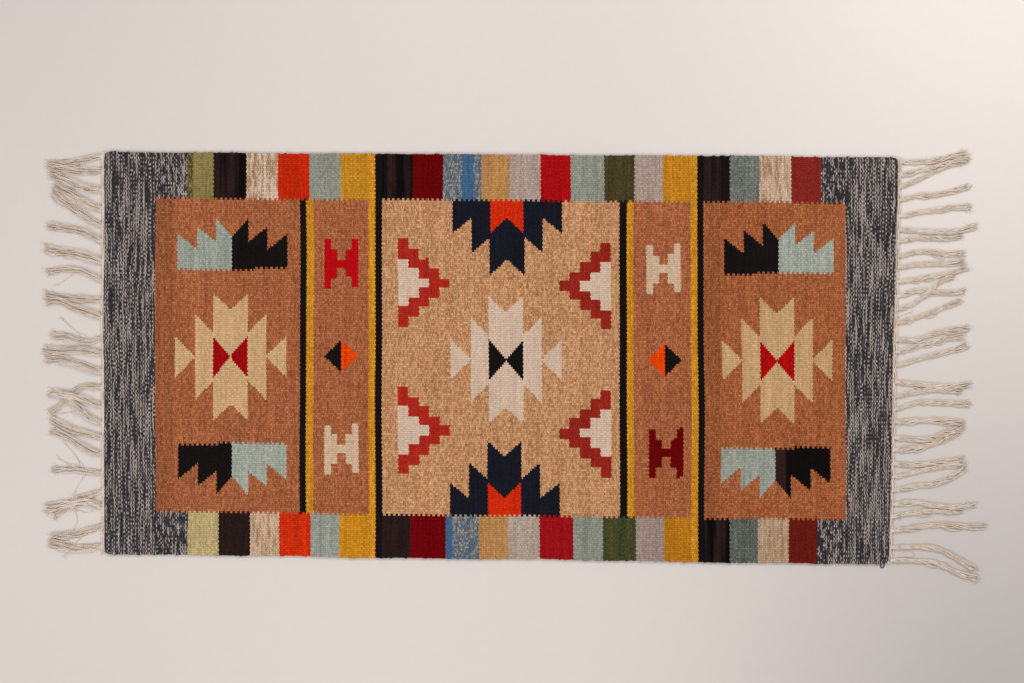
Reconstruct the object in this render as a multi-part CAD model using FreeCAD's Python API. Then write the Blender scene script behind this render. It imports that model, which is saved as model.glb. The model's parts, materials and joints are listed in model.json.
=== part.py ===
import FreeCAD, Part
import os

# A hand-woven flat rug: a weft-faced kilim of wool on cotton warps, with a knotted fringe at both ends.
# Millimetres. The warps run along X, the wefts along Y, and +Z is up. The origin is the centre of the
# woven body, on the underside that lies on the floor.
#
# Each yarn fills its own area of the cloth, so each area is a slab as thick as the rug, and the areas meet
# edge to edge like a mosaic. The warps run through channels in all of them and hold them together.
# "v" is a distance across the loom, before the cloth came off it slightly out of square.

Vector = FreeCAD.Vector

# ---- Driving sizes -----------------------------------------------------------------------------------
THICKNESS = 4.0
BODY_WIDTH = 613.0  # across the warps, at mid length
WIDTH_GAIN = 7.0  # how much wider the right end is than the left
END_DROP = 12.5  # how far the right end has crept towards -Y
RIGHT_END_LEAN = 15.0  # how far the right end's top corner stands out past its bottom corner

WARP_COUNT = 191
WARP_RADIUS = 0.7
CHANNEL_RADIUS = 0.75
CHANNEL_OVERRUN = 2.0  # how far a channel's cut goes past the slab it is cut from, at each end
CORD_WIDTH = 6.0  # the twined end cord

TOP_ROW_WARPS = 21  # warps covered by the row of edge blocks along each long edge
BOTTOM_ROW_WARPS = 20
TOP_ARM_END = -474.0  # where the left border's arms stop and the edge blocks start
BOTTOM_ARM_END = -472.0

# The sections along the rug, left to right: name, length.
SECTIONS = (
    ("left_marl_border", 77.5),
    ("left_terracotta_field", 218.7),
    ("left_outer_black", 9.4),
    ("left_outer_yellow", 11.4),
    ("left_terracotta_band", 83.6),
    ("left_inner_yellow", 10.8),
    ("left_inner_black", 9.8),
    ("tan_centre_field", 360.3),
    ("right_inner_black", 10.8),
    ("right_inner_yellow", 10.1),
    ("right_terracotta_band", 87.5),
    ("right_outer_yellow", 10.0),
    ("right_outer_black", 9.5),
    ("right_terracotta_field", 215.4),
    ("right_marl_border", 72.2),
)
FULL_WIDTH_STRIPES = ("left_inner_yellow", "left_inner_black", "right_outer_yellow", "right_outer_black")

# The edge blocks, left to right: yarn, X where the block ends. STRIPE marks a stripe that runs through.
STRIPE = "stripe"
TOP_BLOCKS = (
    ("olive", -433), ("black", -383), ("cream", -335), ("orange", -288), ("sage", -240),
    ("yellow", "left_inner_yellow"), (STRIPE, "tan_centre_field"),
    ("black", -130), ("dark_red", -85), ("blue_marl", -56), ("blue", -38), ("blue_marl", -26),
    ("gold", 17), ("grey", 64), ("red", 109), ("sage", 159), ("dark_green", 205), ("grey", 249),
    ("yellow", "right_outer_yellow"), (STRIPE, "right_terracotta_field"),
    ("black", 351), ("teal_grey", 396), ("cream", 445), ("dark_red", 490),
)
BOTTOM_BLOCKS = (
    ("olive", -425), ("black", -377), ("cream", -333), ("orange", -287), ("sage", -243),
    ("yellow", "left_inner_yellow"), (STRIPE, "tan_centre_field"),
    ("black", -134), ("dark_red", -81), ("blue", -71), ("blue_marl", -30),
    ("gold", 14), ("grey", 61), ("red", 112), ("sage", 157), ("dark_green", 207), ("grey", 250),
    ("yellow", "right_outer_yellow"), (STRIPE, "right_terracotta_field"),
    ("black", 349), ("teal_grey", 392), ("cream", 440), ("dark_red", 483),
)

# The figures: where each one's centre, or the middle of its base, lies.
STARS = {"left_star": (-407, 0), "centre_star": (11, -4), "right_star": (422, -5)}
STAR_TIERS = (26, 54, 84)  # half widths of the column, the shoulders and the wings
STAR_TIP = 96
STAR_NOTCH = 72
STAR_SHOULDER_TIP = 65
STAR_SHOULDER = 36
STAR_WING = 31  # half height of a wing, and of the bow tie
STAR_NECK = 0.8  # half height of the single stitch that joins a wing to the star, or two bow tie halves

# Combs: X and Y of the middle of the base, which way it points (1 is up), and its teal side (1 is right).
COMBS = {"upper_left": (-405, 135, 1, -1), "lower_left": (-405, -133, -1, 1),
         "upper_right": (425, 128, 1, 1), "lower_right": (419, -140, -1, -1)}
COMB_TIERS = (83, 53, 24)  # how far each tooth's outer side stands from the seam
COMB_TIPS = (52, 63, 75)
COMB_VALLEYS = (28, 40, 49)

CROWNS = {"upper": (13, 1), "lower": (9, -1)}  # X, and which long edge it stands on (1 is the upper one)
CROWN_TIERS = (83, 54, 26.5)
CROWN_TIPS = (52, 82, 116)
CROWN_VALLEYS = (28, 58, 92)
HEART_HALF_WIDTH = 25
HEART_TIP = 52
HEART_NOTCH = 28
FOOT_OVERRUN = 6.0  # how far a crown or heart is drawn past the join, where it is cut off straight

H_FIGURES = {"upper_left_h": (-240, 142), "lower_left_h": (-239, -140),
             "upper_right_h": (250, 134), "lower_right_h": (253, -146)}
H_WIDTHS = (26, 16, 6.5)  # half widths: outside of the legs, their inner sides, the bar
H_HEIGHTS = (37, 21, 6)  # half heights: the legs, the inner steps, the bar

DIAMONDS = {"left": (-240, 0), "right": (252, -5)}
DIAMOND_HALF = (26, 25)

# Chevrons: X and Y of the middle of the base, and which way it points (1 is right).
CHEVRONS = {"upper_left": (-152.5, 112, 1), "lower_left": (-152.5, -111, 1),
            "upper_right": (169.5, 108, -1), "lower_right": (169.5, -116, -1)}
CHEVRON_STEP = (15.5, 14.65)
CHEVRON_STEPS = 5
CHEVRON_FILL_STEPS = 3

# The tassels, top to bottom: Y where the tassel leaves the end cord, how far it has risen from there at a
# quarter, half and three quarters of its reach and at its tip, and its reach away from the rug.
LEFT_TASSELS = (
    (305, (-4, -10, -11, -12), 81), (283, (-1, 0, 3, 5), 77), (252, (4, 10, 19, 27), 76),
    (223, (9, 20, 29, 38), 71), (197, (13, 25, 37, 50), 73), (173, (14, 20, 23, 26), 81),
    (143, (10, 14, 17, 23), 87), (115, (12, 18, 17, 12), 84), (86, (1, 3, 5, 9), 87),
    (59, (9, 17, 25, 26), 84), (30, (-6, -3, 2, 2), 74), (4, (5, 7, 6, 8), 87),
    (-24, (9, 16, 21, 21), 84), (-47, (3, -4, -22, -39), 76), (-75, (8, 15, 18, 21), 79),
    (-102, (8, 20, 33, 50), 56), (-123, (6, 10, 19, 29), 77), (-149, (8, 20, 31, 38), 77),
    (-176, (3, 5, 5, 5), 76), (-202, (-9, -14, -28, -41), 74), (-228, (8, 5, 2, -2), 84),
    (-257, (-7, -12, -15, -18), 74), (-287, (-2, -3, 1, 5), 79),
)
RIGHT_TASSELS = (
    (296, (0, 3, 8, 14), 99), (275, (8, 14, 22, 26), 103), (257, (12, 25, 35, 41), 100),
    (237, (8, 9, 15, 23), 105), (213, (6, 10, 14, 13), 109), (193, (-2, -3, -2, 6), 117),
    (175, (5, 5, 5, 9), 97), (152, (7, 7, 4, 5), 97), (135, (5, 6, 7, 11), 97),
    (114, (4, 9, 14, 21), 105), (91, (9, 8, 6, 9), 102), (71, (9, 24, 43, 52), 84),
    (50, (9, 17, 27, 35), 97), (26, (0, 9, 15, 16), 108), (6, (10, 16, 22, 24), 100),
    (-14, (9, 17, 23, 32), 108), (-38, (-3, -6, -6, -5), 112), (-61, (7, 10, 11, 8), 100),
    (-81, (11, 12, 11, 9), 114), (-99, (3, 3, 2, -2), 103), (-122, (-3, -2, 6, 14), 103),
    (-142, (4, 8, 17, 28), 97), (-162, (-2, 0, 3, 7), 103), (-183, (7, 13, 17, 20), 105),
    (-204, (8, 11, 20, 36), 111), (-224, (4, -2, -4, 1), 125), (-243, (6, 9, 9, 8), 105),
    (-265, (7, 10, 8, 8), 141), (-290, (2, 0, -14, -35), 126), (-309, (0, -4, -18, -29), 131),
)
TASSEL_HALF_WIDTHS = (2.5, 3.2, 3.6, 4.2, 5.0)  # at the root, each quarter, and the tip
TASSEL_HEIGHT = 3.0
TASSEL_CLEARANCE = 0.1  # the least gap between two tassels, side by side or one on the other

TAIL_X = 582.0  # the loop of weft yarn at the lower right corner
TAIL_LOOP_RADIUS = 2.7
TAIL_LEG = 3.0
TAIL_YARN_RADIUS = 0.75

# ---- Sizes worked out from those ---------------------------------------------------------------------
BODY_LENGTH = sum(length for _, length in SECTIONS)
BODY_END = BODY_LENGTH / 2
HALF_WIDTH = BODY_WIDTH / 2
WARP_PITCH = BODY_WIDTH / WARP_COUNT
TOP_JOIN = HALF_WIDTH - TOP_ROW_WARPS * WARP_PITCH
BOTTOM_JOIN = BOTTOM_ROW_WARPS * WARP_PITCH - HALF_WIDTH


def section_starts():
    """The X where each section starts."""
    starts = {}
    x = -BODY_END
    for name, length in SECTIONS:
        starts[name] = x
        x += length
    return starts


STARTS = section_starts()
LENGTHS = dict(SECTIONS)


# ---- Plan shapes -------------------------------------------------------------------------------------
def woven(x, v):
    """The finished cloth's point at x along the warps and v across the loom."""
    share = x / BODY_LENGTH
    y = v * (1 + WIDTH_GAIN / BODY_WIDTH * share) - END_DROP * share
    return Vector(x, y, 0)


def right_end(v, past=0.0):
    """A point on the leaning right end, or past it."""
    x = BODY_END + RIGHT_END_LEAN / 2 * v / HALF_WIDTH + past
    return woven(x, v)


def outline(points):
    """The flat face inside a closed outline of straight sides."""
    return Part.Face(Part.makePolygon(points + points[:1]))


def strip(x_from, x_to, v_from, v_to):
    """A part of the cloth between two wefts and two warps."""
    return outline([woven(x_from, v_from), woven(x_to, v_from), woven(x_to, v_to), woven(x_from, v_to)])


def full_strip(name, v_from=-HALF_WIDTH, v_to=HALF_WIDTH):
    """A section of the rug between two warps, by default its whole width."""
    start = STARTS[name]
    return strip(start, start + LENGTHS[name], v_from, v_to)


def mirrored(points, turn_x=1, turn_y=1):
    """The points with X or Y turned over."""
    return [(turn_x * x, turn_y * y) for x, y in points]


def figure(points, centre):
    """A figure's face from points round its own centre. A point drawn twice running counts once."""
    points = [point for point, before in zip(points, points[-1:] + points) if point != before]
    return outline([Vector(centre[0] + x, centre[1] + y, 0) for x, y in points])


def four_fold(quarter):
    """A closed outline from its upper right quarter, turned over both ways."""
    right = quarter + mirrored(quarter, 1, -1)[::-1]
    return right + mirrored(right, -1)[::-1]


def star(centre):
    """The star's stepped column and shoulders, with a wing joined to each side by one stitch."""
    column, shoulder, wing = STAR_TIERS
    return figure(four_fold([
        (0, STAR_NOTCH), (column, STAR_TIP), (column, STAR_SHOULDER), (shoulder, STAR_SHOULDER_TIP),
        (shoulder, STAR_NECK), (wing, STAR_WING),
    ]), centre)


def bow_tie(centre):
    """The two triangles that meet in the middle of a star."""
    return figure(four_fold([(0, STAR_NECK), (STAR_TIERS[0], STAR_WING)]), centre)


def saw_teeth(tiers, tips, valleys):
    """Stepped teeth from the outermost in to the seam: straight up outside, and a slant down inside."""
    points = [(tiers[0], 0)]
    inner = tiers[1:] + (0,)
    for outer, inside, tip, valley in zip(tiers, inner, tips, valleys):
        points += [(outer, tip), (inside, valley)]
    return points


def comb_half(place, side):
    """One half of a comb, from its seam out to the side given."""
    x, y, up, _ = place
    points = saw_teeth(COMB_TIERS, COMB_TIPS, COMB_VALLEYS) + [(0, 0)]
    return figure(mirrored(points, side, up), (x, y))


def crown(x, up):
    """A crown that stands on the join with the edge row and points to the middle of the rug."""
    base = woven(x, TOP_JOIN if up > 0 else BOTTOM_JOIN).y
    right = saw_teeth(CROWN_TIERS, CROWN_TIPS, CROWN_VALLEYS)
    foot = [(CROWN_TIERS[0], -FOOT_OVERRUN)]
    points = foot + right + mirrored(right[-2::-1], -1) + mirrored(foot, -1)
    return figure(mirrored(points, 1, -up), (x, base))


def heart(x, up):
    """The two-pointed patch in a crown's foot."""
    base = woven(x, TOP_JOIN if up > 0 else BOTTOM_JOIN).y
    right = [(HEART_HALF_WIDTH, -FOOT_OVERRUN), (HEART_HALF_WIDTH, HEART_TIP), (0, HEART_NOTCH)]
    return figure(mirrored(right + mirrored(right, -1)[::-1], 1, -up), (x, base))


def h_figure(centre):
    """Two legs with an inner step each, and a bar between them."""
    leg, inner, bar = H_WIDTHS
    top, step, bar_top = H_HEIGHTS
    return figure(four_fold([(bar, bar_top), (bar, step), (inner, step), (inner, top), (leg, top)]), centre)


def diamond_half(centre, side):
    """The left or right half of a diamond."""
    width, height = DIAMOND_HALF
    return figure([(0, height), (side * width, 0), (0, -height)], centre)


def stepped_wedge(place, first_half, steps):
    """A wedge of square steps. Its half height is first_half at the base and drops by one step each time."""
    x, y, towards = place
    run, rise = CHEVRON_STEP
    upper = []
    for step in range(steps):
        height = first_half - step * rise
        upper += [(towards * run * step, height), (towards * run * (step + 1), height)]
    return figure(upper + mirrored(upper[::-1], 1, -1), (x, y))


def chevron_fill(place):
    """The cream wedge that a chevron holds."""
    return stepped_wedge(place, (CHEVRON_FILL_STEPS - 0.5) * CHEVRON_STEP[1], CHEVRON_FILL_STEPS)


def chevron(place):
    """The stepped band round that wedge."""
    whole = stepped_wedge(place, (CHEVRON_STEPS - 0.5) * CHEVRON_STEP[1], CHEVRON_STEPS)
    return whole.cut(chevron_fill(place))


# ---- The cloth's plan: each area's name and faces ----------------------------------------------------
plan = {}


def inlay(name, shape, ground):
    """Takes a figure out of the field it lies in and gives it a place of its own in the plan."""
    plan[name] = plan[ground].common(shape)
    plan[ground] = plan[ground].cut(shape)


def lay_out_fields():
    """The fields, bands and stripes between the two edge rows, and the stripes that run right across."""
    for name, _ in SECTIONS:
        if name.endswith("marl_border"):
            continue
        if name in FULL_WIDTH_STRIPES:
            plan[name] = full_strip(name)
        else:
            plan[name] = full_strip(name, BOTTOM_JOIN, TOP_JOIN)


def lay_out_edge_row(blocks, arm_end, v_from, v_to):
    """One row of edge blocks. Blocks of one yarn share an area. Returns where the last block ends."""
    x = arm_end
    for yarn, end in blocks:
        end = STARTS.get(end, end)
        if yarn != STRIPE:
            name = yarn + "_edge_blocks"
            block = strip(x, end, v_from, v_to)
            plan[name] = Part.makeCompound(plan[name].Faces + [block]) if name in plan else block
        x = end
    return x


def lay_out_borders(top_end, bottom_end):
    """The two marl borders, each with an arm along both long edges up to the edge blocks."""
    left_inside = STARTS["left_terracotta_field"]
    right_inside = STARTS["right_marl_border"]
    plan["left_marl_border"] = outline([
        woven(-BODY_END, HALF_WIDTH), woven(-BODY_END, -HALF_WIDTH),
        woven(BOTTOM_ARM_END, -HALF_WIDTH), woven(BOTTOM_ARM_END, BOTTOM_JOIN),
        woven(left_inside, BOTTOM_JOIN), woven(left_inside, TOP_JOIN),
        woven(TOP_ARM_END, TOP_JOIN), woven(TOP_ARM_END, HALF_WIDTH),
    ])
    plan["right_marl_border"] = outline([
        right_end(-HALF_WIDTH), right_end(HALF_WIDTH),
        woven(top_end, HALF_WIDTH), woven(top_end, TOP_JOIN),
        woven(right_inside, TOP_JOIN), woven(right_inside, BOTTOM_JOIN),
        woven(bottom_end, BOTTOM_JOIN), woven(bottom_end, -HALF_WIDTH),
    ])


def lay_out_figures():
    """The figures inlaid in the fields."""
    grounds = {"left_star": "left_terracotta_field", "centre_star": "tan_centre_field",
               "right_star": "right_terracotta_field"}
    for name, centre in STARS.items():
        inlay(name, star(centre), grounds[name])
        inlay(name.replace("star", "bow_tie"), bow_tie(centre), name)
    for name, place in COMBS.items():
        ground = "left_terracotta_field" if "left" in name else "right_terracotta_field"
        teal_side = place[-1]
        inlay(name + "_teal_comb", comb_half(place, teal_side), ground)
        inlay(name + "_black_comb", comb_half(place, -teal_side), ground)
    for name, (x, up) in CROWNS.items():
        inlay(name + "_crown", crown(x, up), "tan_centre_field")
        inlay(name + "_heart", heart(x, up), name + "_crown")
    for name, centre in H_FIGURES.items():
        inlay(name, h_figure(centre), "left_terracotta_band" if "left" in name else "right_terracotta_band")
    for name, centre in DIAMONDS.items():
        ground = name + "_terracotta_band"
        outward = -1 if name == "left" else 1
        inlay(name + "_diamond_black", diamond_half(centre, outward), ground)
        inlay(name + "_diamond_orange", diamond_half(centre, -outward), ground)
    for name, place in CHEVRONS.items():
        inlay(name + "_chevron", chevron(place), "tan_centre_field")
        inlay(name + "_fill", chevron_fill(place), "tan_centre_field")


def lay_out_cords():
    """The end cords: a narrow twined band outside each marl border."""
    plan["left_end_cord"] = strip(-BODY_END - CORD_WIDTH, -BODY_END, -HALF_WIDTH, HALF_WIDTH)
    plan["right_end_cord"] = outline([
        right_end(-HALF_WIDTH), right_end(-HALF_WIDTH, CORD_WIDTH),
        right_end(HALF_WIDTH, CORD_WIDTH), right_end(HALF_WIDTH),
    ])


def share_nodes(name, parts):
    """Puts several small areas of one yarn under one name."""
    plan[name] = Part.makeCompound([face for part in parts for face in plan.pop(part).Faces])


# ---- Solids ------------------------------------------------------------------------------------------
def warp_v(index):
    """How far across the loom a warp lies."""
    return (index + 0.5) * WARP_PITCH - HALF_WIDTH


def along_warp(index, x_from, x_to, radius):
    """A round bar on a warp's line, at half the cloth's thickness."""
    middle = Vector(0, 0, THICKNESS / 2)
    start = woven(x_from, warp_v(index)) + middle
    end = woven(x_to, warp_v(index)) + middle
    run = end - start
    return Part.makeCylinder(radius, run.Length, start, run)


def weave(area):
    """The cloth over an area's faces: a slab for each, with a channel for each warp that crosses it."""
    cloth = []
    for face in area.Faces:
        slab = face.extrude(Vector(0, 0, THICKNESS))
        box = slab.BoundBox
        channels = []
        for index in range(WARP_COUNT):
            lane = along_warp(index, box.XMin - CHANNEL_OVERRUN, box.XMax + CHANNEL_OVERRUN, CHANNEL_RADIUS)
            if lane.BoundBox.YMax > box.YMin and lane.BoundBox.YMin < box.YMax:
                channels.append(lane)
        cloth += slab.cut(channels).Solids
    return cloth


def warps():
    """All the warps, each from the outside of one end cord to the outside of the other."""
    threads = []
    for index in range(WARP_COUNT):
        v = warp_v(index)
        far_end = right_end(v, CORD_WIDTH).x
        threads.append(along_warp(index, -BODY_END - CORD_WIDTH, far_end, WARP_RADIUS))
    return threads


def tassel_plan(root, rises, reach, side):
    """A tassel from above: a ribbon that widens towards its splayed tip, starting inside the end cord."""
    v = root / (1 + side * WIDTH_GAIN / BODY_WIDTH / 2) + side * END_DROP / 2
    edge = right_end(v, CORD_WIDTH).x if side > 0 else -BODY_END - CORD_WIDTH
    route = [Vector(edge, root, 0)]
    for quarter, rise in enumerate(rises, 1):
        route.append(Vector(edge + side * reach * quarter / 4, root + rise, 0))
    left, right = [], []
    for index, point in enumerate(route):
        before = route[max(index - 1, 0)]
        after = route[min(index + 1, len(route) - 1)]
        along = (after - before).normalize()
        across = Vector(-along.y, along.x, 0) * TASSEL_HALF_WIDTHS[index]
        left.append(point + across)
        right.append(point - across)
    return outline(left + right[::-1]).cut(plan["right_end_cord" if side > 0 else "left_end_cord"])


def fringe(tassels, side):
    """A row of tassels lying on the floor. One that crosses its neighbour lies on top of it."""
    layers = ([], [])
    solids = []
    for root, rises, reach in tassels:
        ribbon = tassel_plan(root, rises, reach, side)
        clear = [
            all(ribbon.distToShape(other)[0] > TASSEL_CLEARANCE for other in layer) for layer in layers
        ]
        level = 0 if clear[0] or not clear[1] else 1
        layers[level].append(ribbon)
        tassel = ribbon.extrude(Vector(0, 0, TASSEL_HEIGHT))
        tassel.translate(Vector(0, 0, level * (TASSEL_HEIGHT + TASSEL_CLEARANCE)))
        solids += tassel.Solids
    return solids


def yarn_tail():
    """A hairpin of weft yarn lying on the floor, its two legs against the rug's lower edge."""
    edge = woven(TAIL_X, -HALF_WIDTH).y
    z = TAIL_YARN_RADIUS
    bend = edge - TAIL_LEG
    left = Vector(TAIL_X - TAIL_LOOP_RADIUS, edge, z)
    right = Vector(TAIL_X + TAIL_LOOP_RADIUS, edge, z)
    left_low, right_low = (Vector(leg.x, bend, z) for leg in (left, right))
    bottom = Vector(TAIL_X, bend - TAIL_LOOP_RADIUS, z)
    path = Part.Wire([
        Part.LineSegment(left, left_low).toShape(),
        Part.Arc(left_low, bottom, right_low).toShape(),
        Part.LineSegment(right_low, right).toShape(),
    ])
    section = Part.Wire(Part.makeCircle(TAIL_YARN_RADIUS, left, Vector(0, -1, 0)))
    return path.makePipeShell([section], True, True).Solids


def main():
    os.makedirs("parts", exist_ok=True)
    lay_out_fields()
    top_end = lay_out_edge_row(TOP_BLOCKS, TOP_ARM_END, TOP_JOIN, HALF_WIDTH)
    bottom_end = lay_out_edge_row(BOTTOM_BLOCKS, BOTTOM_ARM_END, -HALF_WIDTH, BOTTOM_JOIN)
    lay_out_borders(top_end, bottom_end)
    lay_out_figures()
    lay_out_cords()
    share_nodes("left_black_stripes", ["left_outer_black", "left_inner_black"])
    share_nodes("left_yellow_stripes", ["left_outer_yellow", "left_inner_yellow"])
    share_nodes("right_yellow_stripes", ["right_inner_yellow", "right_outer_yellow"])
    share_nodes("right_black_stripes", ["right_inner_black", "right_outer_black"])
    share_nodes("chevron_fills", [name + "_fill" for name in CHEVRONS])
    share_nodes("crown_hearts", [name + "_heart" for name in CROWNS])
    share_nodes("black_diamond_halves", [name + "_diamond_black" for name in DIAMONDS])
    share_nodes("orange_diamond_halves", [name + "_diamond_orange" for name in DIAMONDS])

    nodes = {name: weave(area) for name, area in plan.items()}
    nodes["warps"] = warps()
    nodes["left_fringe"] = fringe(LEFT_TASSELS, -1)
    nodes["right_fringe"] = fringe(RIGHT_TASSELS, 1)
    nodes["yarn_tail"] = yarn_tail()

    for name, solids in nodes.items():
        shape = solids[0] if len(solids) == 1 else Part.makeCompound(solids)
        shape.exportStep(os.path.join("parts", name + ".step"))
        print(name, len(solids), "solids", round(shape.Volume / 1000, 2), "cm3", shape.isValid())
    print(len(nodes), "nodes")


main()
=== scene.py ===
"""A hand-woven kilim rug with a cotton fringe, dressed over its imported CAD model. Metres, Z up.

The cloth is built stitch by stitch. Its wefts cross each warp as a row of rounded stitches, and
the stitches of neighbouring warps interlock. The CAD areas say which yarn each stitch is made of.
"""

import json
import math

import bpy
import numpy as np
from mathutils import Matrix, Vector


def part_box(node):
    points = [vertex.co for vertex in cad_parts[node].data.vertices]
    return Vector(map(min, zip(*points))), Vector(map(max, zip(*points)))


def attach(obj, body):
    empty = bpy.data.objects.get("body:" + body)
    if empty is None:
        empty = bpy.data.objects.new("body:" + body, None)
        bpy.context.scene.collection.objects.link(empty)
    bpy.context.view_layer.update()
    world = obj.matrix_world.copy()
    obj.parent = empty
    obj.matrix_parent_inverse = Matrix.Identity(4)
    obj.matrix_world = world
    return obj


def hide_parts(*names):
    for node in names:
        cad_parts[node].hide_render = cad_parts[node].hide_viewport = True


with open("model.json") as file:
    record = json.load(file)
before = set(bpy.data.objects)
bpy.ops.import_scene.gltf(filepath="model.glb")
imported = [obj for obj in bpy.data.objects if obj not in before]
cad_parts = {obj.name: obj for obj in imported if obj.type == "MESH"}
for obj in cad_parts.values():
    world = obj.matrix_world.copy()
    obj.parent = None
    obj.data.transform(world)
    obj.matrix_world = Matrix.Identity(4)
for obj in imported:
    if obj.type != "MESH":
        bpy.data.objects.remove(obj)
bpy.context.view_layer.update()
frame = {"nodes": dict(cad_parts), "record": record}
random = np.random.default_rng(60120)

MM = 0.001

# ---- The weave -----------------------------------------------------------------------------------
WARP_COUNT = 191  # one rib of stitches over each warp
PICK_COUNT = 1280  # passes of the weft: each shows as a stitch on every other warp
ROWS = 2  # rows of mesh across a rib
MIDDLE = 2.0 * MM  # half the cloth's thickness
STITCH_CROWN = 2.0 * MM  # a stitch's height above the middle of the cloth
STITCH_SIDE = 1.5 * MM  # where it presses against the next stitch on the same warp
STITCH_END = 1.3 * MM  # where it dives between two warps
INTERLOCK = 0.5 * MM  # how far a stitch reaches in between those of the next warp
TOP_ROW_WARPS = 21  # warps under the upper row of edge blocks
BOTTOM_ROW_WARPS = 20
RIPPLE = 0.3 * MM  # slow unevenness of the cloth's surface
DRIFT = 0.7 * MM  # slow unevenness of its lines
DRIFT_WAVES = (6, 0.15, 0.6)  # for the drift: how many swells are added up, the shortest and the longest (m)
RIPPLE_WAVES = (8, 0.03, 0.12)  # and the same for the ripple
SCATTER_ALONG = 0.08 * MM  # how far a corner of a stitch is off its place along the rug
SCATTER_ACROSS = 0.06 * MM  # across it, and up or down
EDGE_LOOP = 0.5 * MM  # how far the wefts bulge where they turn back at the long edges
LOOP_PICKS = 4  # how many picks bulge together
STRIPE_LEAN = -1.5 * MM  # how far the right-hand stripes lean out of square, at the upper edge
CORNER_ROUND = 7 * MM
CORNER_PULL = 0.3  # how far a corner is drawn in, as a share of its rounding

# ---- The cotton ----------------------------------------------------------------------------------
WARP_RADIUS = 0.8 * MM
CORD_STRAND = 0.8 * MM  # radius of a strand of the end cord
CORD_HELIX = 0.7 * MM  # how far a strand of the end cord winds round its row's middle
CORD_PITCH = 5.0 * MM
CORD_ROWS = (1.0 * MM, 3.1 * MM)  # how far outside the cloth the end cord's two rows run
TASSEL_SPACING = 21.0 * MM
ROOT_DEPTH = 3.5 * MM  # how far the tassels reach back under the end cord
FINE_STRAND = 0.6 * MM  # radius of a strand in the left fringe
STRAND = 0.8 * MM  # and in the right one
STRAND_PITCH = 7.0 * MM  # one whole turn of a strand's two plies
RING_STEP = 1.0 * MM  # between the points of a strand
ROOT_FALL = 12 * MM  # how far from its root a strand comes down to the floor
PILE_HEIGHT = 8 * MM  # strands that cross in a pile press together, and never stand higher than this
BUNDLE = 2.6 * MM  # half the height of a twisted tassel's bundle
FIBRE_GAP = 0.15 * MM  # the height at which loose fibres lie
TAIL_YARN = 0.75 * MM  # radius of the weft yarn in the tail
TASSEL_STATIONS = 4  # places along a CAD tassel, past its root, where its outline has a pair of corners


# ---- Reading the CAD model -----------------------------------------------------------------------
def node_vertices(name):
    mesh = frame["nodes"][name].data
    points = np.empty(len(mesh.vertices) * 3)
    mesh.vertices.foreach_get("co", points)
    return points.reshape(-1, 3)


def node_triangles(name):
    mesh = frame["nodes"][name].data
    mesh.calc_loop_triangles()
    corners = np.empty(len(mesh.loop_triangles) * 3, dtype=np.int32)
    mesh.loop_triangles.foreach_get("vertices", corners)
    return corners.reshape(-1, 3)


def top_triangles(name):
    """A node's level triangles that face up, above mid thickness."""
    points, triangles = node_vertices(name), node_triangles(name)
    a, b, c = (points[triangles[:, k]] for k in range(3))
    facing = np.cross(b - a, c - a)
    facing /= np.maximum(np.linalg.norm(facing, axis=1), 1e-15)[:, None]
    return points, triangles[(facing[:, 2] > 0.99) & (a[:, 2] > MIDDLE)]


def corner(name, towards_x, towards_y):
    """The plan corner of a node that lies furthest in a direction."""
    points = node_vertices(name)
    return points[np.argmax(points[:, 0] * towards_x + points[:, 1] * towards_y)][:2]


LOWER_LEFT = corner("left_marl_border", -1, -1)
UPPER_LEFT = corner("left_marl_border", -1, 1)
LOWER_RIGHT = corner("right_marl_border", 1, -1)
UPPER_RIGHT = corner("right_marl_border", 1, 1)
LEFT_END = LOWER_LEFT[0]
RIGHT_END = (LOWER_RIGHT[0] + UPPER_RIGHT[0]) / 2
END_LEAN = (UPPER_RIGHT[0] - LOWER_RIGHT[0]) / 2
RIGHT_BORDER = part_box("right_terracotta_field")[1].x
STRIPES_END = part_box("right_black_stripes")[1].x
CLOTH_LENGTH = RIGHT_END - LEFT_END


def ground(along, across):
    """The plan point at a share (0 to 1) of the cloth's length, and across it from -1 to 1."""
    x = LEFT_END + along * CLOTH_LENGTH
    lean = np.clip((x - RIGHT_BORDER) / (RIGHT_END - RIGHT_BORDER), 0, 1)
    low = LOWER_LEFT[1] + along * (LOWER_RIGHT[1] - LOWER_LEFT[1])
    high = UPPER_LEFT[1] + along * (UPPER_RIGHT[1] - UPPER_LEFT[1])
    return x + END_LEAN * across * lean, low + (high - low) * (across + 1) / 2


# ---- Which yarn each stitch is made of -----------------------------------------------------------
COTTON_NODES = ("left_end_cord", "right_end_cord", "warps", "left_fringe", "right_fringe", "yarn_tail")
WOVEN_NODES = [name for name in sorted(frame["nodes"]) if name not in COTTON_NODES]


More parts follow.
